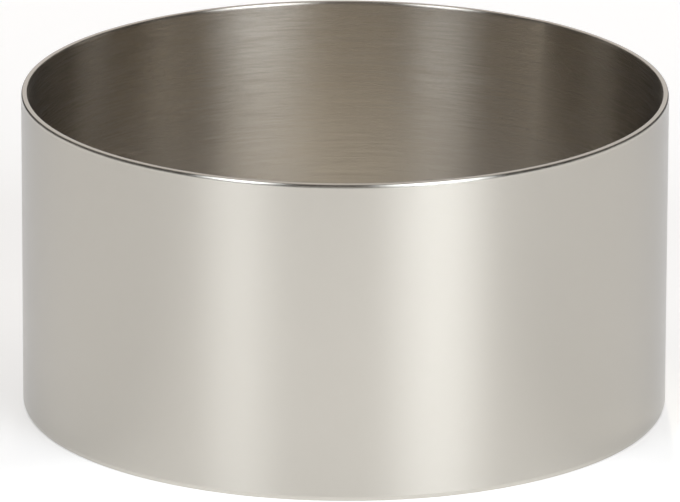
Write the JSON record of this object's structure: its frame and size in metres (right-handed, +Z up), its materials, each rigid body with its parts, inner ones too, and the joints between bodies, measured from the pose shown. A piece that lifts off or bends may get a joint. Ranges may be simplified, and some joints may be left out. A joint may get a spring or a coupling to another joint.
{
  "type": "pastry ring",
  "caption": "Open straight-sided ring of brushed stainless steel for cutting, shaping and setting pastry, rolled from strip and closed by a butt weld.",
  "frame": {"origin": "centre of the ring on the plane of its bottom edge", "axes": "+Z up along the ring's axis; the pictured front faces -Y; +X to the right of it"},
  "size_m": [0.1, 0.1, 0.05],
  "materials": {
    "brushed_steel": "stainless steel, finely brushed round the wall",
    "weld_metal": "weld metal, ground flush and brushed over"
  },
  "bodies": {
    "root": {"rolled_band": "brushed_steel", "seam_weld": "weld_metal"}
  },
  "joints": []
}
